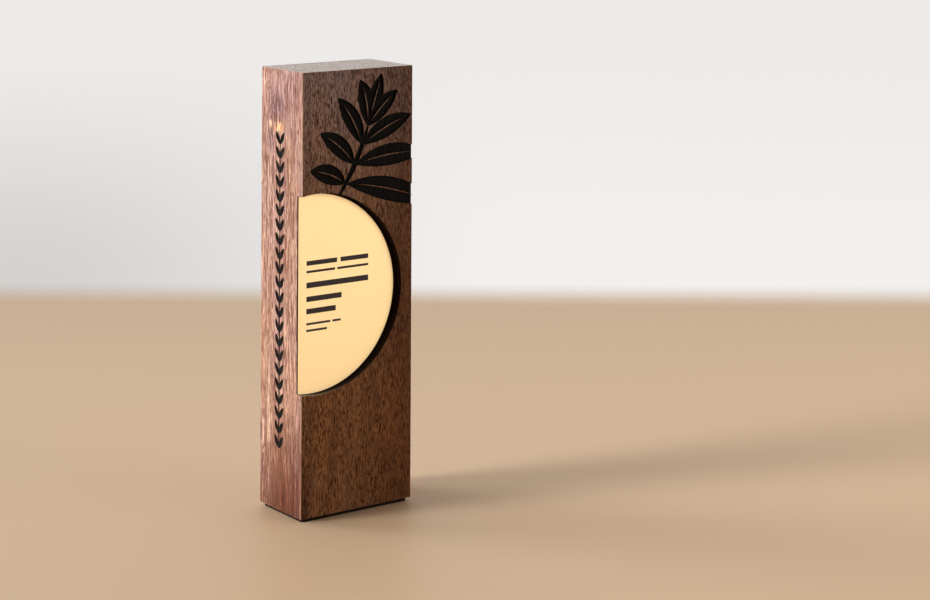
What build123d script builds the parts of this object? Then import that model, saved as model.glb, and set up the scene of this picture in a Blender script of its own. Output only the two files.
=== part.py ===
from build123d import *
import os
from math import cos, radians, sin

# A free-standing award: an upright walnut block with a brass plate let into its front.
# Frame in millimetres: +X to the block's right as it faces the reader, -Y out of the front,
# +Z up. The origin is the centre of the footprint on the surface that the award stands on.

# ---- driving dimensions ----
INCH = 25.4
BLOCK_HEIGHT = 10 * INCH
BLOCK_WIDTH = 3 * INCH
BLOCK_DEPTH = 1.75 * INCH
EDGE_EASE = 0.4                 # sanded round on the twelve outer edges

PAD_THICKNESS = 1.8             # black pad under the block
PAD_INSET = 1.6                 # from the block's sides to the pad's edge
PAD_CORNER = 2.0
FILM_THICKNESS = 0.2            # adhesive that holds the pad
FILM_INSET = 0.8                # from the pad's edge to the film's edge

# The pocket is part of a disc milled into the front and left open on the left face.
# Places on the front are (distance from the left face, height above the wood's lower end).
POCKET_CENTRE = Vector(11.2, BLOCK_HEIGHT / 2)
POCKET_RADIUS = 57.5
POCKET_DEPTH = 5.2
PLATE_CENTRE = Vector(8.8, BLOCK_HEIGHT / 2)
PLATE_RADIUS = 57.0
PLATE_THICKNESS = 0.8
TAPE_THICKNESS = 0.4            # foam tape between the plate and the pocket's floor
TAPE_INSET = 0.6

# Bars let into the plate: (left end, right end, middle height, bar height) on the front.
BAR_DEPTH = 0.3
FILL_THICKNESS = 0.22           # the fill stops just below the plate's face
PLATE_BARS = (
    (5.6, 26.4, 144.5, 2.6),
    (28.8, 48.0, 144.5, 2.6),
    (5.6, 25.0, 139.6, 1.3),
    (26.6, 48.0, 139.6, 1.3),
    (5.6, 48.0, 131.9, 3.2),
    (5.6, 29.6, 124.0, 3.0),
    (5.6, 25.6, 117.0, 3.0),
    (5.6, 22.0, 109.8, 1.2),
    (23.4, 29.0, 109.8, 1.2),
    (5.6, 19.6, 106.0, 1.2),
)

# The laurel sprig is burnt into the front, above the plate. Some leaves run off the right edge.
SPRIG_DEPTH = 1.2
STEM_FOOT = Vector(22.0, 178.0)
STEM_TOP = Vector(46.0, 225.0)
STEM_WIDTH = 3.4
STEM_BOW = -2.5
LEAF_PLACES = (0.24, 0.47, 0.70, 0.91)      # where leaf pairs leave the stem, as shares of it
RIGHT_LEAF = 66.0               # length of the lowest right leaf
RIGHT_SHRINK = 0.76             # each right leaf's length over that of the one below
RIGHT_WIDTH = 14.0
RIGHT_NARROWING = 1.2
RIGHT_CURL = 2.6
RIGHT_CURL_DROP = 0.5
RIGHT_HEADING = -15.0
LEFT_LEAVES = (26.0, 31.0, 33.0, 28.0)
LEFT_WIDTH = 11.2
LEFT_CURL = -2.0
LEFT_HEADING = 160.0
HEADING_STEP = 19.5             # turn between one leaf and the next on a side
TOP_LEAF = (72.0, 27.0, 9.6)    # heading, length, width
RIB_WIDTH = 0.8                 # line of wood left standing along a leaf
RIB_START = 0.12
RIB_END = 0.82

# The leaf chain is burnt into the left face.
# Places on this face are (distance towards the front from its middle, height as above).
CHAIN_DEPTH = 0.5
CHAIN_OFFSET = -1.8
CHAIN_FOOT = 35.6
CHAIN_TOP = 218.0
CHAIN_PAIRS = 22
CHAIN_LEAF = 8.6
CHAIN_LEAF_WIDTH = 3.2
CHAIN_SPREAD = 31.0             # a leaf's angle from the chain's stem
CHAIN_STEM = 1.0

# ---- values worked out from those ----
WOOD_BOTTOM = PAD_THICKNESS + FILM_THICKNESS
LEFT = -BLOCK_WIDTH / 2
FRONT = -BLOCK_DEPTH / 2
PLATE_BACK = POCKET_DEPTH - TAPE_THICKNESS
PLATE_FACE = PLATE_BACK - PLATE_THICKNESS

# Local axes on each face: first axis to the reader's right, second axis up.
FRONT_FACE = Plane(origin=(LEFT, FRONT, WOOD_BOTTOM), x_dir=(1, 0, 0), z_dir=(0, -1, 0))
LEFT_FACE = Plane(origin=(LEFT, 0, WOOD_BOTTOM), x_dir=(0, -1, 0), z_dir=(-1, 0, 0))


def direction(heading):
    """Unit vector on a face, turned by heading degrees from the first axis."""
    return Vector(cos(radians(heading)), sin(radians(heading)))


def across(start, end):
    """Unit vector at a right angle to the line from start to end, to its left."""
    along = (end - start).normalized()
    return Vector(-along.Y, along.X)


def blade(start, end, width, bow):
    """Face between two arcs that meet at start and end. Bow moves its middle sideways."""
    middle = (start + end) / 2
    side = across(start, end)
    left_arc = ThreePointArc(start, middle + side * (bow + width / 2), end)
    right_arc = ThreePointArc(end, middle + side * (bow - width / 2), start)
    return make_face([left_arc.edge(), right_arc.edge()])


def point_on_blade(start, end, bow, share):
    """Point on a blade's middle line, at a share of its length."""
    rise = 4 * bow * share * (1 - share)
    return start + (end - start) * share + across(start, end) * rise


def leaf_rib(start, end, bow):
    """Thin blade along a leaf's middle line, short of both its ends."""
    rib_start = point_on_blade(start, end, bow, RIB_START)
    rib_end = point_on_blade(start, end, bow, RIB_END)
    rib_bow = bow * (RIB_END - RIB_START) ** 2
    return blade(rib_start, rib_end, RIB_WIDTH, rib_bow)


def sprig_leaves():
    """(start, end, width, bow) of each leaf of the sprig."""
    leaves = []
    for index, place in enumerate(LEAF_PLACES):
        start = point_on_blade(STEM_FOOT, STEM_TOP, STEM_BOW, place)
        right_end = start + direction(RIGHT_HEADING + HEADING_STEP * index) * (
            RIGHT_LEAF * RIGHT_SHRINK**index
        )
        right_width = RIGHT_WIDTH - RIGHT_NARROWING * index
        leaves.append((start, right_end, right_width, RIGHT_CURL - RIGHT_CURL_DROP * index))
        left_end = start + direction(LEFT_HEADING - HEADING_STEP * index) * LEFT_LEAVES[index]
        leaves.append((start, left_end, LEFT_WIDTH, LEFT_CURL))
    heading, length, width = TOP_LEAF
    leaves.append((STEM_TOP, STEM_TOP + direction(heading) * length, width, 0.0))
    return leaves


def sprig_outline():
    outline = blade(STEM_FOOT, STEM_TOP, STEM_WIDTH, STEM_BOW)
    leaves = sprig_leaves()
    for start, end, width, bow in leaves:
        outline += blade(start, end, width, bow)
    for start, end, width, bow in leaves:
        outline -= leaf_rib(start, end, bow)
    return outline


def chain_outline():
    length = CHAIN_TOP - CHAIN_FOOT
    stem_length = length - CHAIN_LEAF / 2
    outline = Pos(CHAIN_OFFSET, CHAIN_FOOT + stem_length / 2) * Rectangle(CHAIN_STEM, stem_length)
    last_start = length - CHAIN_LEAF * cos(radians(CHAIN_SPREAD))
    for index in range(CHAIN_PAIRS):
        start = Vector(CHAIN_OFFSET, CHAIN_FOOT + last_start * index / (CHAIN_PAIRS - 1))
        for side in (-1, 1):
            end = start + direction(90 + side * CHAIN_SPREAD) * CHAIN_LEAF
            outline += blade(start, end, CHAIN_LEAF_WIDTH, 0.0)
    return outline


def disc(centre, radius):
    return Pos(centre.X, centre.Y) * Circle(radius)


def disc_segment(centre, radius, left_edge):
    """Part of a disc to the right of left_edge."""
    keep = Pos(left_edge + radius, centre.Y) * Rectangle(2 * radius, 2 * radius)
    return disc(centre, radius) & keep


def sunk(face, depth, thickness):
    """Solid made from a face's outline, starting at depth below the front of the block."""
    return extrude(FRONT_FACE.offset(-depth) * face, -thickness)


def walnut_block():
    block = Box(BLOCK_WIDTH, BLOCK_DEPTH, BLOCK_HEIGHT)
    block = fillet(block.edges(), EDGE_EASE)
    block = Pos(0, 0, WOOD_BOTTOM + BLOCK_HEIGHT / 2) * block
    block -= sunk(disc(POCKET_CENTRE, POCKET_RADIUS), 0, POCKET_DEPTH)
    block -= sunk(sprig_outline(), 0, SPRIG_DEPTH)
    block -= extrude(LEFT_FACE * chain_outline(), -CHAIN_DEPTH)
    return block


def plate_bars():
    bars = Sketch()
    for left, right, height, thickness in PLATE_BARS:
        bars += Pos((left + right) / 2, height) * Rectangle(right - left, thickness)
    return bars


def brass_plate():
    plate = sunk(disc_segment(PLATE_CENTRE, PLATE_RADIUS, 0), PLATE_FACE, PLATE_THICKNESS)
    return plate - sunk(plate_bars(), PLATE_FACE, BAR_DEPTH)


def plate_fill():
    return sunk(plate_bars(), PLATE_FACE + BAR_DEPTH - FILL_THICKNESS, FILL_THICKNESS)


def plate_tape():
    outline = disc_segment(PLATE_CENTRE, PLATE_RADIUS - TAPE_INSET, TAPE_INSET)
    return sunk(outline, PLATE_BACK, TAPE_THICKNESS)


def base_sheet(inset, bottom, thickness):
    """Rounded rectangular sheet under the block, inset from the block's sides."""
    outline = RectangleRounded(BLOCK_WIDTH - 2 * inset, BLOCK_DEPTH - 2 * inset, PAD_CORNER)
    return Pos(0, 0, bottom) * extrude(outline, thickness)


def base_pad():
    return base_sheet(PAD_INSET, 0, PAD_THICKNESS)


def pad_film():
    return base_sheet(PAD_INSET + FILM_INSET, PAD_THICKNESS, FILM_THICKNESS)


os.makedirs("parts", exist_ok=True)
export_step(walnut_block(), "parts/walnut_block.step")
export_step(brass_plate(), "parts/brass_plate.step")
export_step(plate_fill(), "parts/plate_fill.step")
export_step(plate_tape(), "parts/plate_tape.step")
export_step(base_pad(), "parts/base_pad.step")
export_step(pad_film(), "parts/pad_film.step")
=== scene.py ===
import bpy, bmesh, math
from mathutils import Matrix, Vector

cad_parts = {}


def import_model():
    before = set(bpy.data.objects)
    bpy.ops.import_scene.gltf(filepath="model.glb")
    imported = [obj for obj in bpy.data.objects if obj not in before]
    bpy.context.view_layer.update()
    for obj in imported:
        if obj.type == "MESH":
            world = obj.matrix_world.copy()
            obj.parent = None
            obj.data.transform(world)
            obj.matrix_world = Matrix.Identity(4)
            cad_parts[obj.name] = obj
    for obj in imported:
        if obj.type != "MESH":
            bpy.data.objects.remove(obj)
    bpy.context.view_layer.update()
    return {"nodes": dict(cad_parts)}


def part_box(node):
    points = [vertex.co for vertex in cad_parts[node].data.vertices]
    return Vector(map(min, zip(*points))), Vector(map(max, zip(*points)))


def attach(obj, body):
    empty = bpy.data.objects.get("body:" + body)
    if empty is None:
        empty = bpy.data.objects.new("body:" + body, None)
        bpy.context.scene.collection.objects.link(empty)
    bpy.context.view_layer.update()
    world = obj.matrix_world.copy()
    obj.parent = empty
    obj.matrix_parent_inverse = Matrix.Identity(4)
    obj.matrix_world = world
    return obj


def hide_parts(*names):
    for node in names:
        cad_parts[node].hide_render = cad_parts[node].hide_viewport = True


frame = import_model()
nodes = frame["nodes"]

MM = 0.001
block_low, block_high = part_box("walnut_block")
pad_low, pad_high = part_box("base_pad")

# ---- sizes of the cut features, in millimetres, as in the part's design ----
SPRIG_DEPTH = 1.2
CHAIN_DEPTH = 0.5
CHAIN_FROM_FRONT = (19.0, 29.0)       # the leaf chain's place on the left face
POCKET_DEPTH = 5.2
POCKET_RADIUS = 57.5
POCKET_FROM_LEFT = 11.2
EDGE_EASE = 0.4

LEFT = block_low.x / MM
RIGHT = block_high.x / MM
FRONT = block_low.y / MM
BACK = block_high.y / MM
FOOT = block_low.z / MM
TOP = block_high.z / MM
POCKET_CENTRE = (LEFT + POCKET_FROM_LEFT, (FOOT + TOP) / 2)


# ---- node graphs ----
class Graph:
    """The nodes of a material or a world. An input may be a number, a tuple or another node's output."""

    def __init__(self, owner):
        self.owner = owner
        owner.use_nodes = True
        self.tree = owner.node_tree
        self.tree.nodes.clear()

    def node(self, kind, inputs=None, **settings):
        made = self.tree.nodes.new(kind)
        for key, value in settings.items():
            setattr(made, key, value)
        for key, value in (inputs or {}).items():
            self.feed(made.inputs[key], value)
        return made

    def feed(self, socket, value):
        if isinstance(value, bpy.types.NodeSocket):
            self.tree.links.new(value, socket)
        elif isinstance(value, (tuple, list)) and socket.type == "RGBA":
            socket.default_value = (*value, 1.0) if len(value) == 3 else value
        else:
            socket.default_value = value

    def place(self):
        """Where the shaded point is, in millimetres in the shared frame."""
        found = self.node("ShaderNodeTexCoord").outputs["Object"]
        return self.vector("MULTIPLY", found, (1 / MM,) * 3)

    def normal(self):
        return self.node("ShaderNodeTexCoord").outputs["Normal"]

    def math(self, operation, a, b=0.0):
        return self.node("ShaderNodeMath", {0: a, 1: b}, operation=operation).outputs[0]

    def vector(self, operation, a, b=(0, 0, 0)):
        made = self.node("ShaderNodeVectorMath", {0: a, 1: b}, operation=operation)
        return made.outputs["Value" if operation in ("LENGTH", "DOT_PRODUCT") else "Vector"]

    def split(self, value):
        made = self.node("ShaderNodeSeparateXYZ", {0: value})
        return made.outputs[0], made.outputs[1], made.outputs[2]

    def join(self, x, y, z):
        return self.node("ShaderNodeCombineXYZ", {0: x, 1: y, 2: z}).outputs[0]

    def stretched(self, place, x, y, z):
        """place divided by a size along each axis, so that a texture's features get those sizes."""
        return self.vector("DIVIDE", place, (x, y, z))

    def noise(self, place, detail=2.0, roughness=0.5, output="Fac"):
        inputs = {"Vector": place, "Scale": 1.0, "Detail": detail, "Roughness": roughness}
        return self.node("ShaderNodeTexNoise", inputs).outputs[output]

    def remap(self, value, low, high, to_low=0.0, to_high=1.0):
        """Smooth step from to_low at low to to_high at high."""
        inputs = {"Value": value, "From Min": low, "From Max": high,
                  "To Min": to_low, "To Max": to_high}
        return self.node("ShaderNodeMapRange", inputs, interpolation_type="SMOOTHSTEP").outputs[0]

    def mix(self, share, a, b, blend="MIX"):
        made = self.node("ShaderNodeMix", data_type="RGBA", blend_type=blend)
        self.feed(made.inputs[0], share)
        self.feed(made.inputs[6], a)
        self.feed(made.inputs[7], b)
        return made.outputs[2]

    def tint(self, colour, factor, share=1.0):
        """colour multiplied by factor, as far as share says."""
        return self.mix(share, colour, factor, "MULTIPLY")

    def ramp(self, value, *stops):
        """Colours or greys at positions from 0 to 1."""
        made = self.node("ShaderNodeValToRGB", {0: value})
        elements = made.color_ramp.elements
        while len(elements) < len(stops):
            elements.new(0.5)
        for element, (position, colour) in zip(elements, stops):
            element.position = position
            grey = isinstance(colour, (int, float))
            element.color = (colour,) * 3 + (1,) if grey else (*colour, 1)
        return made.outputs[0]

    def between(self, value, low, high):
        """1 where low < value < high, and 0 elsewhere."""
        edge = 0.02
        above = self.remap(value, low - edge, low + edge)
        below = self.remap(value, high - edge, high + edge, 1.0, 0.0)
        return self.math("MULTIPLY", above, below)

    def all_of(self, *masks):
        result = masks[0]
        for mask in masks[1:]:
            result = self.math("MULTIPLY", result, mask)
        return result

    def any_of(self, *masks):
        result = masks[0]
        for mask in masks[1:]:
            result = self.math("MAXIMUM", result, mask)
        return result

    def blob(self, place, centre, radii):
        """1 at centre, falling smoothly to 0 at the radii."""
        offset = self.vector("DIVIDE", self.vector("SUBTRACT", place, centre), radii)
        return self.remap(self.vector("LENGTH", offset), 0.0, 1.0, 1.0, 0.0)

    def bump(self, height, distance, strength):
        inputs = {"Height": height, "Distance": distance * MM, "Strength": strength}
        return self.node("ShaderNodeBump", inputs).outputs[0]

    def finish(self, **inputs):
        """Ends the graph in a Principled shader. Input names have _ for a space."""
        named = {key.replace("_", " "): value for key, value in inputs.items()}
        shader = self.node("ShaderNodeBsdfPrincipled", named)
        self.node("ShaderNodeOutputMaterial", {"Surface": shader.outputs[0]})
        return self.owner


def material_graph(name):
    return Graph(bpy.data.materials.new(name))


def on_left_face(behind_front, above_foot):
    return (LEFT, FRONT + behind_front, FOOT + above_foot)


# ---- walnut: colours are linear, and a factor multiplies the wood's own colour ----
PITH = (16.0, 92.0)                   # the tree's centre, in x and y, lies behind the block
RING_WIDTH = 4.6
KNOT = on_left_face(28.0, 222.0)
KNOT_REACH = (26, 16, 26)             # how far the grain bends round the knot
FIBRE_WAVER = 2.6                     # how far short fibres stray sideways
LINE_WAVER = 0.7                      # and how far the fine lines do
SIDE_PORE_LENGTH = 2.6                # pores on the narrow faces, over those on the front
SIDE_MARK_DEPTH = 7.0                 # how deep the left face's marks go

FRONT_RIGHT_FACTOR = (0.68, 0.58, 0.46)
# the foot's factors: redder wood with painted shade, then painted shade alone, both darker towards the
# bottom
RED_SHADED_FOOT_FACTOR = (0.355, 0.202, 0.152)
FOOT_SHADE_FACTOR = (0.51, 0.41, 0.34)
PINK_SHEEN_FACTOR = (1.05, 1.37, 2.45)      # painted sheen: takes the orange out of the left face and the upper part
# painted sheen that greys the upper part of the front
UPPER_FRONT_SHEEN_FACTOR = (1.06, 1.14, 1.34)
# painted sheen that pales and greys both ends
END_SHEEN_COLOUR = (0.52, 0.44, 0.37)
PORE_COLOUR = (0.052, 0.017, 0.006)
LEFT_PORE_COLOUR = (0.100, 0.034, 0.024)
# painted highlight along the rounded edges
EDGE_HIGHLIGHT_COLOUR = (0.46, 0.27, 0.19)
# painted shade in the pocket, darkest on its right
POCKET_SHADE_COLOUR = (0.014, 0.006, 0.002)

# Marks on the left face: colour, share, (behind the front, above the foot), (half width, half height).
SIDE_MARKS = (
    ((0.62, 0.34, 0.125), 0.60, (34.5, 62), (3.4, 48)),         # pale streak of sapwood
    ((0.55, 0.29, 0.10), 0.45, (41, 38), (2.2, 22)),            # thinner streak behind it
    ((0.250, 0.118, 0.060), 0.60, (22, 238), (34, 40)),         # browner wood round the knot
    ((0.50, 0.24, 0.10), 0.35, (42, 246), (5, 26)),             # paler wood by the back edge
    ((0.128, 0.066, 0.035), 0.85, (28, 233), (11, 15)),         # dark wood above the knot
    ((0.150, 0.080, 0.044), 0.75, (34, 213), (6, 10)),          # and below it
    ((0.52, 0.235, 0.062), 0.95, (26.5, 220.5), (5.4, 4.4)),    # the knot's bright heart
    ((0.62, 0.35, 0.125), 0.90, (32.5, 222), (2.6, 3.4)),       # pale fleck behind it
    ((0.40, 0.18, 0.070), 0.50, (17, 212), (5, 9)),             # golden wood in front of it
)


def grain_place(g, place, waver):
    """place, bent a little, so that grain lines wander and part round the knot."""
    slow = g.noise(g.stretched(place, 45, 45, 150), detail=1.0, output="Color")
    drift = g.vector("MULTIPLY", g.vector("SUBTRACT", slow, (0.5, 0.5, 0.5)), (9, 9, 0))
    fine = g.noise(g.stretched(place, 6, 6, 15), detail=1.0, output="Color")
    stray = g.vector("MULTIPLY", g.vector("SUBTRACT", fine, (0.5, 0.5, 0.5)), (waver, waver, 0))
    bent = g.vector("ADD", g.vector("ADD", place, drift), stray)
    near_knot = g.math("MULTIPLY", g.blob(place, KNOT, KNOT_REACH), 0.55)
    inward = g.vector("SUBTRACT", KNOT, place)
    pull = g.vector("MULTIPLY", inward, g.join(0.0, near_knot, 0.0))
    return g.vector("ADD", bent, pull)


def ring_shade(g, grain):
    """0 to 1 through each year's growth, where 1 is the thin dark late wood."""
    x, y, z = g.split(grain)
    across = g.join(g.math("SUBTRACT", x, PITH[0]), g.math("SUBTRACT", y, PITH[1]), 0.0)
    radius = g.vector("LENGTH", across)
    unevenness = g.join(g.math("DIVIDE", radius, 9.0), 0.0, g.math("DIVIDE", z, 400.0))
    uneven = g.noise(unevenness, detail=1.0)
    years = g.math("ADD", g.math("DIVIDE", radius, RING_WIDTH), g.math("MULTIPLY", uneven, 1.5))
    return g.math("FRACT", years)


def heartwood(g, grain, fibre):
    """Brown wood with soft lengthwise streaks, growth rings and a slow drift of tone."""
    streak = g.noise(g.stretched(grain, 1.5, 1.5, 26), detail=3.0, roughness=0.62)
    wood = g.ramp(streak, (0.28, (0.245, 0.111, 0.043)), (0.45, (0.282, 0.129, 0.050)),
                  (0.60, (0.306, 0.141, 0.055)), (0.78, (0.335, 0.157, 0.063)))
    tone = g.ramp(g.noise(g.stretched(grain, 10, 10, 190)),
                  (0.32, (0.88, 0.86, 0.87)), (0.52, 1.0), (0.70, (1.11, 1.08, 1.03)))
    wood = g.tint(wood, tone)
    warmth = g.ramp(g.noise(g.stretched(grain, 16, 16, 60)),
                    (0.36, (0.96, 1.0, 1.12)), (0.52, 1.0), (0.66, (1.03, 0.99, 0.92)))
    wood = g.tint(wood, warmth)
    x, y, _ = g.split(grain)
    front_right = g.all_of(g.remap(x, LEFT + 40, RIGHT - 4), g.remap(y, FRONT, BACK, 1.0, 0.2))
    wood = g.tint(wood, FRONT_RIGHT_FACTOR, front_right)
    late = g.ramp(ring_shade(g, grain), (0.0, 1.0), (0.55, 0.98), (0.86, 0.82), (0.95, 0.74), (1.0, 0.98))
    wood = g.tint(wood, late)
    return g.tint(wood, g.ramp(fibre, (0.32, 0.76), (0.68, 1.22)))


def reddish_lines(g, grain):
    """Long fine lines of darker and lighter wood, as factors on its colour."""
    line = g.noise(g.stretched(grain, 0.80, 0.80, 26), detail=4.0, roughness=0.75)
    return g.ramp(line, (0.40, (0.46, 0.33, 0.30)), (0.50, (0.96, 0.95, 0.95)),
                  (0.60, (1.30, 1.37, 1.43)))


def side_mark(g, grain, wood, colour, share, centre, radii):
    """Blends colour into the wood round centre on the left face."""
    mask = g.blob(grain, on_left_face(*centre), (SIDE_MARK_DEPTH, *radii))
    return g.mix(g.math("MULTIPLY", mask, share), wood, colour)


def side_figure(g, grain, wood, lines):
    """The left face's figure: a redder, more lined foot that painted shade darkens towards the bottom,
    pale streaks of sapwood and the knot.
    """
    redder = g.tint(g.tint(wood, lines), RED_SHADED_FOOT_FACTOR)
    # redder wood at the foot, deepened by painted shade towards the bottom
    wood = side_mark(g, grain, wood, redder, 0.88, (14, 6), (46, 78))
    darker = g.tint(wood, FOOT_SHADE_FACTOR)
    # painted shade at the very foot of the left face
    wood = side_mark(g, grain, wood, darker, 0.85, (22, 0), (50, 34))
    for mark in SIDE_MARKS:
        wood = side_mark(g, grain, wood, *mark)
    return wood


def face_tints(g, grain, wood, lines, on_left, on_front, on_back, on_end):
    """Draws the lines on the left face and faintly on the back, and cools the block's upper part with
    painted sheen.
    """
    lined = g.any_of(on_left, g.math("MULTIPLY", on_back, 0.45))
    wood = g.tint(wood, lines, lined)
    upper = g.remap(g.split(grain)[2], FOOT + 130, TOP, 0.0, 0.95)
    upper = g.all_of(upper, g.math("SUBTRACT", 1.0, on_end))
    # painted sheen takes the orange out of the lined faces and the upper part
    wood = g.tint(wood, PINK_SHEEN_FACTOR, g.any_of(lined, upper))
    # more painted sheen on the upper part of the front
    return g.tint(wood, UPPER_FRONT_SHEEN_FACTOR, g.all_of(upper, on_front))


def end_grain(g, grain, wood, on_end):
    """Painted sheen that pales and greys both ends, with the growth rings as arcs."""
    # painted sheen on both ends
    wood = g.mix(g.math("MULTIPLY", on_end, 0.55), wood, END_SHEEN_COLOUR)
    rings = g.ramp(ring_shade(g, grain), (0.0, 1.08), (0.60, 1.02), (0.90, 0.68), (1.0, 1.0))
    return g.tint(wood, rings, on_end)


def pores(g, grain, width, length, low, high):
    """1 inside short dark pores that run along the grain."""
    field = g.noise(g.stretched(grain, width, width, length), detail=1.5, roughness=0.6)
    return g.remap(field, low, high)


def all_pores(g, grain, on_side):
    """1 inside pores of two sizes, which are longer on the narrow faces and crowd in places."""
    lengthening = g.math("DIVIDE", 1.0, g.remap(on_side, 0.0, 1.0, 1.0, SIDE_PORE_LENGTH))
    drawn = g.vector("MULTIPLY", grain, g.join(1.0, 1.0, lengthening))
    coarse = pores(g, drawn, width=0.66, length=4.8, low=0.555, high=0.60)
    elsewhere = g.vector("ADD", drawn, (50, 0, 0))
    small = pores(g, elsewhere, width=0.44, length=3.2, low=0.52, high=0.575)
    crowding = g.noise(g.stretched(grain, 9, 9, 40), detail=1.0)
    crowding = g.remap(crowding, 0.35, 0.65, 0.85, 1.0)
    return g.all_of(g.any_of(coarse, g.math("MULTIPLY", small, 0.80)), crowding)


def from_pocket_centre(g, place):
    """Distance from the middle of the pocket's disc, as seen from the front."""
    x, _, z = g.split(place)
    offset = g.join(g.math("SUBTRACT", x, POCKET_CENTRE[0]), 0.0,
                    g.math("SUBTRACT", z, POCKET_CENTRE[1]))
    return g.vector("LENGTH", offset)


def burnt_mask(g, place):
    """1 on the floor and walls of the leaf sprig and of the leaf chain."""
    x, y, z = g.split(place)
    upright = g.between(z, FOOT + 1, TOP - 1)
    across = g.between(x, LEFT + EDGE_EASE, RIGHT - 0.01)
    behind_front = g.between(y, FRONT + 0.05, FRONT + SPRIG_DEPTH + 0.1)
    off_right_edge = g.between(x, LEFT, RIGHT - EDGE_EASE)
    past_ease = g.remap(y, FRONT + EDGE_EASE, FRONT + EDGE_EASE + 0.05)
    clear_of_ease = g.any_of(off_right_edge, past_ease)
    outside_pocket = g.remap(from_pocket_centre(g, place), POCKET_RADIUS + 0.02, POCKET_RADIUS + 0.1)
    sprig = g.all_of(upright, across, behind_front, clear_of_ease, outside_pocket)
    behind_left = g.between(x, LEFT + 0.05, LEFT + CHAIN_DEPTH + 0.1)
    column = g.between(y, FRONT + CHAIN_FROM_FRONT[0], FRONT + CHAIN_FROM_FRONT[1])
    chain = g.all_of(upright, behind_left, column)
    return g.any_of(sprig, chain)


def pocket_shade_mask(g, place):
    """Painted shade on the pocket's wall and floor: 1 on their right."""
    x, y, _ = g.split(place)
    inside = g.remap(from_pocket_centre(g, place), POCKET_RADIUS + 0.05, POCKET_RADIUS + 0.15, 1.0, 0.0)
    deep = g.between(y, FRONT + 0.1, FRONT + POCKET_DEPTH + 0.1)
    # the painted shade deepens towards the pocket's right wall
    rightward = g.remap(x, POCKET_CENTRE[0] + 4, POCKET_CENTRE[0] + 26, 0.75, 1.0)
    return g.all_of(inside, deep, rightward)


def char(g, place):
    """Near black, with the grain still showing as fine lengthwise lines."""
    lines = g.noise(g.stretched(place, 0.5, 0.5, 24), detail=3.0, roughness=0.65)
    colour = g.ramp(lines, (0.36, (0.0070, 0.0060, 0.0055)), (0.56, (0.014, 0.0112, 0.0098)),
                    (0.75, (0.044, 0.034, 0.028)))
    return lines, colour


def highlit_edges(g):
    """1 on the rounded edges between two faces, where a painted highlight lightens them."""
    x, y, z = g.split(g.vector("ABSOLUTE", g.normal()))
    return g.remap(g.any_of(x, y, z), 0.80, 0.985, 1.0, 0.0)


def facing(g, component):
    """1 where a surface faces along a direction, from its normal's component along it."""
    return g.remap(component, 0.6, 0.9)


def walnut():
    g = material_graph("walnut_oiled")
    place = g.place()
    grain = grain_place(g, place, FIBRE_WAVER)
    lines = reddish_lines(g, grain_place(g, place, LINE_WAVER))
    fibre = g.noise(g.stretched(grain, 0.30, 0.30, 6), roughness=0.62)
    rightward, backward, upward = g.split(g.normal())
    on_left = facing(g, g.math("MULTIPLY", rightward, -1.0))
    on_side = facing(g, g.math("ABSOLUTE", rightward))
    on_front = facing(g, g.math("MULTIPLY", backward, -1.0))
    on_back = facing(g, backward)
    on_end = facing(g, g.math("ABSOLUTE", upward))

    wood = side_figure(g, grain, heartwood(g, grain, fibre), lines)
    wood = face_tints(g, grain, wood, lines, on_left, on_front, on_back, on_end)
    wood = end_grain(g, grain, wood, on_end)
    pore = all_pores(g, grain, on_side)
    pore_colour = g.mix(on_left, PORE_COLOUR, LEFT_PORE_COLOUR)
    wood = g.mix(g.math("MULTIPLY", pore, 0.86), wood, pore_colour)
    # painted highlight along the rounded edges
    wood = g.mix(g.math("MULTIPLY", highlit_edges(g), 0.45), wood, EDGE_HIGHLIGHT_COLOUR)

    burnt = burnt_mask(g, place)
    furrows, burnt_colour = char(g, place)
    # painted shade on the pocket's wall and floor, beside the burnt sprig and chain
    pocket = g.math("MULTIPLY", pocket_shade_mask(g, place), 0.88)
    charred_or_shaded = g.any_of(burnt, pocket)
    colour = g.mix(pocket, g.mix(burnt, wood, burnt_colour), POCKET_SHADE_COLOUR)

    rough = g.remap(fibre, 0.3, 0.7, 0.48, 0.60)
    rough = g.math("SUBTRACT", rough, g.math("MULTIPLY", on_end, 0.28))
    rough = g.any_of(rough, g.math("MULTIPLY", pore, 0.7), g.math("MULTIPLY", charred_or_shaded, 0.72))
    gloss = g.remap(on_end, 0.0, 1.0, 0.27, 1.0)
    gloss = g.math("MULTIPLY", gloss, g.remap(g.any_of(charred_or_shaded, pore), 0.0, 1.0, 1.0, 0.25))
    coat = g.math("MULTIPLY", on_end, 0.35)
    relief = g.math("SUBTRACT", g.math("MULTIPLY", fibre, 0.35), pore)
    relief = g.math("ADD", relief, g.math("MULTIPLY", burnt, furrows))
    return g.finish(Base_Color=colour, Roughness=rough, Specular_IOR_Level=gloss,
                    Coat_Weight=coat, Coat_Roughness=0.25, Normal=g.bump(relief, 0.07, 0.6))


# ---- brass plate ----
PLATE_EDGE_COLOUR = (0.022, 0.016, 0.010)


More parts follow.
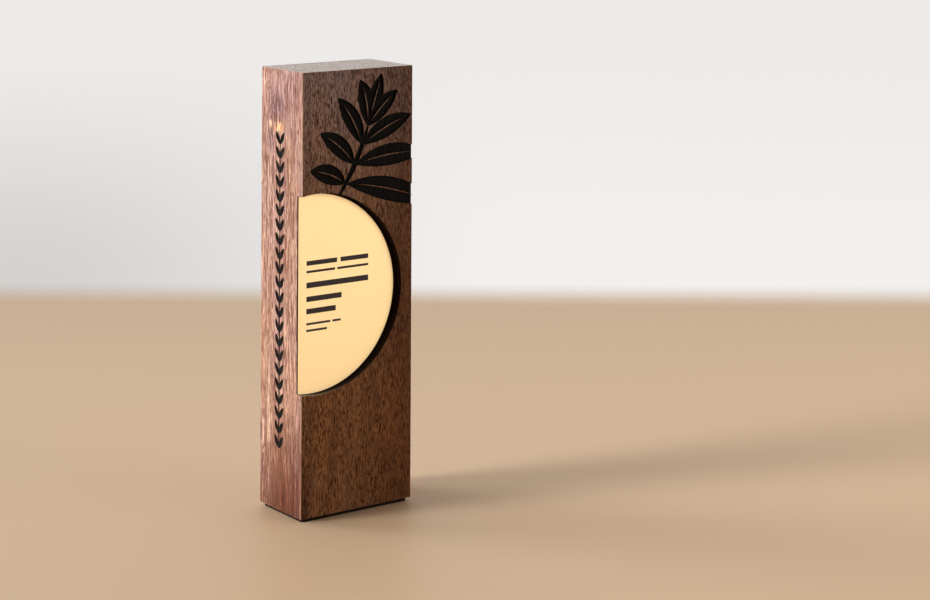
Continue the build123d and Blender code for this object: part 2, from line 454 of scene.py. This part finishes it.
def brushed_brass():
    g = material_graph("brushed_brass")
    place = g.place()
    lines = g.noise(g.stretched(place, 38, 1, 0.16), detail=3.0, roughness=0.7)
    soft = g.noise(g.stretched(place, 60, 1, 3.0))
    colour = g.ramp(lines, (0.3, (0.91, 0.715, 0.435)), (0.55, (0.95, 0.760, 0.470)),
                    (0.75, (0.965, 0.790, 0.500)))
    frontward = g.math("ABSOLUTE", g.split(g.normal())[1])
    # The plate's edges are near black.
    edge_share = g.remap(frontward, 0.3, 0.7, 1.0, 0.0)
    colour = g.mix(edge_share, colour, PLATE_EDGE_COLOUR)
    rough = g.math("ADD", g.remap(lines, 0.3, 0.7, 0.38, 0.46), g.math("MULTIPLY", soft, 0.04))
    # Light spreads upright, at a right angle to the brush lines.
    spread = g.join(0.0, 0.0, 1.0)
    return g.finish(Base_Color=colour, Metallic=1.0, Roughness=rough, Anisotropic=0.85, Tangent=spread,
                    Normal=g.bump(lines, 0.02, 0.25))


# ---- paint, tape, film and rubber ----
def enamel():
    g = material_graph("black_enamel")
    grit = g.noise(g.stretched(g.place(), 0.25, 0.25, 0.25))
    colour = g.ramp(grit, (0.3, (0.030, 0.019, 0.021)), (0.7, (0.050, 0.032, 0.035)))
    return g.finish(Base_Color=colour, Roughness=0.5, Normal=g.bump(grit, 0.03, 0.5))


def foam():
    g = material_graph("foam_tape")
    grit = g.noise(g.stretched(g.place(), 0.2, 0.2, 0.2))
    colour = g.ramp(grit, (0.3, (0.012, 0.011, 0.010)), (0.7, (0.03, 0.028, 0.026)))
    return g.finish(Base_Color=colour, Roughness=0.85, Normal=g.bump(grit, 0.05, 0.6))


def film():
    g = material_graph("adhesive_film")
    grit = g.noise(g.stretched(g.place(), 2.5, 2.5, 0.5))
    colour = g.ramp(grit, (0.3, (0.30, 0.24, 0.15)), (0.7, (0.42, 0.35, 0.24)))
    return g.finish(Base_Color=colour, Roughness=0.45)


def rubber():
    g = material_graph("pad_rubber")
    grit = g.noise(g.stretched(g.place(), 0.35, 0.35, 0.35), detail=3.0, roughness=0.7)
    colour = g.ramp(grit, (0.3, (0.009, 0.005, 0.003)), (0.7, (0.026, 0.014, 0.009)))
    return g.finish(Base_Color=colour, Roughness=0.8, Normal=g.bump(grit, 0.12, 0.8),
                    Specular_IOR_Level=0.15)


def paint(node, material):
    slots = nodes[node].data.materials
    slots.clear()
    slots.append(material)


# ---- rubber pad, which stands for the plain pad ----
PAD_CORNER = 2.0
CORNER_STEPS = 10
SMOOTH_UNDER = 50                     # degrees between two faces that still shade as one
# (inset from the pad's outline in mm, share of its height), from its top to its foot
PAD_PROFILE = (
    (0.30, 1.0), (0.09, 0.95), (0.02, 0.85), (0.09, 0.55),
    (0.0, 0.20), (0.07, 0.06), (0.30, 0.0),
)


def rounded_outline(inset):
    """Points round the pad, in millimetres, anticlockwise from above."""
    radius = PAD_CORNER - inset
    half = Vector((pad_high.x - pad_low.x, pad_high.y - pad_low.y)) / 2 / MM
    points = []
    for turn, (x_side, y_side) in enumerate(((1, 1), (-1, 1), (-1, -1), (1, -1))):
        for step in range(CORNER_STEPS + 1):
            angle = math.radians(90) * (turn + step / CORNER_STEPS)
            x = x_side * (half.x - PAD_CORNER) + radius * math.cos(angle)
            y = y_side * (half.y - PAD_CORNER) + radius * math.sin(angle)
            points.append((x, y))
    return points


def rubber_pad(material):
    """Pad with rolled rims and a shallow groove round its side."""
    shape = bmesh.new()
    rings = []
    for inset, share in PAD_PROFILE:
        height = pad_low.z + share * (pad_high.z - pad_low.z)
        rings.append([shape.verts.new((x * MM, y * MM, height)) for x, y in rounded_outline(inset)])
    for upper, lower in zip(rings, rings[1:]):
        for index in range(len(upper)):
            before = index - 1
            shape.faces.new((upper[before], lower[before], lower[index], upper[index]))
    shape.faces.new(rings[0])
    shape.faces.new(reversed(rings[-1]))
    mesh = bpy.data.meshes.new("rubber_pad")
    shape.to_mesh(mesh)
    shape.free()
    for face in mesh.polygons:
        face.use_smooth = True
    mesh.set_sharp_from_angle(angle=math.radians(SMOOTH_UNDER))
    mesh.materials.append(material)
    pad = bpy.data.objects.new("rubber_pad", mesh)
    bpy.context.scene.collection.objects.link(pad)
    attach(pad, "root")
    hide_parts("base_pad")


# ---- camera: level, 1.3 m away, with a shifted lens that keeps uprights parallel ----
CAMERA_PLACE = (-0.7171, -1.0877, 0.3931)
CAMERA_TURN = -36.65
CAMERA_ROLL = -0.285
LENS = 85.94
SENSOR = 36.0
SHIFT = -0.5030
HEADING = (-math.sin(math.radians(CAMERA_TURN)), math.cos(math.radians(CAMERA_TURN)), 0.0)
RIGHTWARD = (HEADING[1], -HEADING[0], 0.0)


def camera():
    data = bpy.data.cameras.new("camera")
    data.lens = LENS
    data.sensor_width = SENSOR
    data.clip_start = 0.05
    made = bpy.data.objects.new("camera", data)
    made.location = CAMERA_PLACE
    made.rotation_euler = (math.pi / 2, math.radians(CAMERA_ROLL), math.radians(CAMERA_TURN))
    bpy.context.scene.collection.objects.link(made)
    bpy.context.scene.camera = made
    # The lens shift belongs to this one viewpoint, so it drops to nothing when the camera moves.
    driver = data.driver_add("shift_y").driver
    driver.type = "SCRIPTED"
    variable = driver.variables.new()
    variable.name = "x"
    variable.targets[0].id = made
    variable.targets[0].data_path = "location[0]"
    driver.expression = f"{SHIFT} if abs(x - {CAMERA_PLACE[0]}) < 0.0001 else 0.0"


# ---- studio ----
FLOOR_SIZE = 680.0                    # half the floor's side
FLOOR_EDGE = (535.0, 640.0)           # the floor fades into the wall between these distances
FLOOR_COLOUR = (0.58, 0.415, 0.275)
WALL_COLOUR = (1.0, 0.975, 0.96)
LOW_WALL_TONES = (0.70, 0.91)         # left and right of the block, near the floor
HIGH_WALL_TONE = 0.87
LIGHT_FROM_BEHIND = 1.0
LIGHT_FROM_FRONT = 0.26


def floor():
    mesh = bpy.data.meshes.new("floor")
    shape = bmesh.new()
    bmesh.ops.create_grid(shape, x_segments=1, y_segments=1, size=FLOOR_SIZE * MM)
    shape.to_mesh(mesh)
    shape.free()
    made = bpy.data.objects.new("floor", mesh)
    made.rotation_euler.z = math.radians(CAMERA_TURN)
    bpy.context.scene.collection.objects.link(made)
    g = material_graph("floor")
    breadth, depth, _ = g.split(g.vector("ABSOLUTE", g.place()))
    solid = g.remap(g.any_of(depth, breadth), *FLOOR_EDGE, 1.0, 0.0)
    mesh.materials.append(g.finish(Base_Color=FLOOR_COLOUR, Roughness=0.45,
                                   Specular_IOR_Level=0.12, Alpha=solid))


def world():
    """A pale wall behind the block that lights it, and a dimmer room in front of it.
    The camera sees the wall's own tone whichever way it looks."""
    made = bpy.data.worlds.new("studio")
    g = Graph(made)
    direction = g.node("ShaderNodeTexCoord").outputs["Generated"]
    across = g.vector("DOT_PRODUCT", direction, RIGHTWARD)
    low_wall = g.remap(across, -0.20, 0.03, *LOW_WALL_TONES)
    upward = g.remap(g.split(direction)[2], -0.20, -0.09)
    climb = g.math("MULTIPLY", upward, g.math("SUBTRACT", HIGH_WALL_TONE, low_wall))
    wall = g.math("ADD", low_wall, climb)
    ahead = g.vector("DOT_PRODUCT", direction, HEADING)
    lighting = g.remap(ahead, -0.2, 0.6, LIGHT_FROM_FRONT, LIGHT_FROM_BEHIND)
    camera_ray = g.node("ShaderNodeLightPath").outputs["Is Camera Ray"]
    strength = g.node("ShaderNodeMix", {0: camera_ray, 2: lighting, 3: wall}).outputs[0]
    shader = g.node("ShaderNodeBackground", {"Color": WALL_COLOUR, "Strength": strength})
    g.node("ShaderNodeOutputWorld", {"Surface": shader.outputs[0]})
    bpy.context.scene.world = made


def area_light(name, location, target, size, power, colour, spread=180, mirrored=True):
    """A soft rectangle of light aimed at target, with spread in degrees."""
    data = bpy.data.lights.new(name, "AREA")
    data.shape = "RECTANGLE"
    data.size, data.size_y = size
    data.energy = power
    data.color = colour
    data.spread = math.radians(spread)
    made = bpy.data.objects.new(name, data)
    made.location = location
    made.rotation_euler = (Vector(target) - Vector(location)).to_track_quat("-Z", "Y").to_euler()
    made.visible_camera = False
    made.visible_glossy = mirrored
    bpy.context.scene.collection.objects.link(made)


def lights():
    """Two cool windows behind the block on its left, and one warm lamp in front on its right."""
    area_light("window_left", location=(-3.20, 0.90, 0.75), target=(0, 0, 0.25), size=(1.6, 1.2),
               power=16.0, colour=(0.88, 0.95, 1.0), spread=28, mirrored=False)
    area_light("window_back", location=(-1.90, 2.40, 0.64), target=(0, 0, 0.22), size=(1.4, 1.2),
               power=15.5, colour=(0.76, 0.88, 1.0), spread=60, mirrored=False)
    area_light("front_right", location=(0.85, -1.14, 0.47), target=(0, 0, 0.12), size=(1.0, 0.9),
               power=7.3, colour=(1.0, 0.94, 0.84))


paint("walnut_block", walnut())
paint("brass_plate", brushed_brass())
paint("plate_fill", enamel())
paint("plate_tape", foam())
paint("pad_film", film())
rubber_pad(rubber())
floor()
world()
lights()
camera()
bpy.context.scene.view_settings.view_transform = "Standard"
bpy.context.scene.view_settings.gamma = 0.85
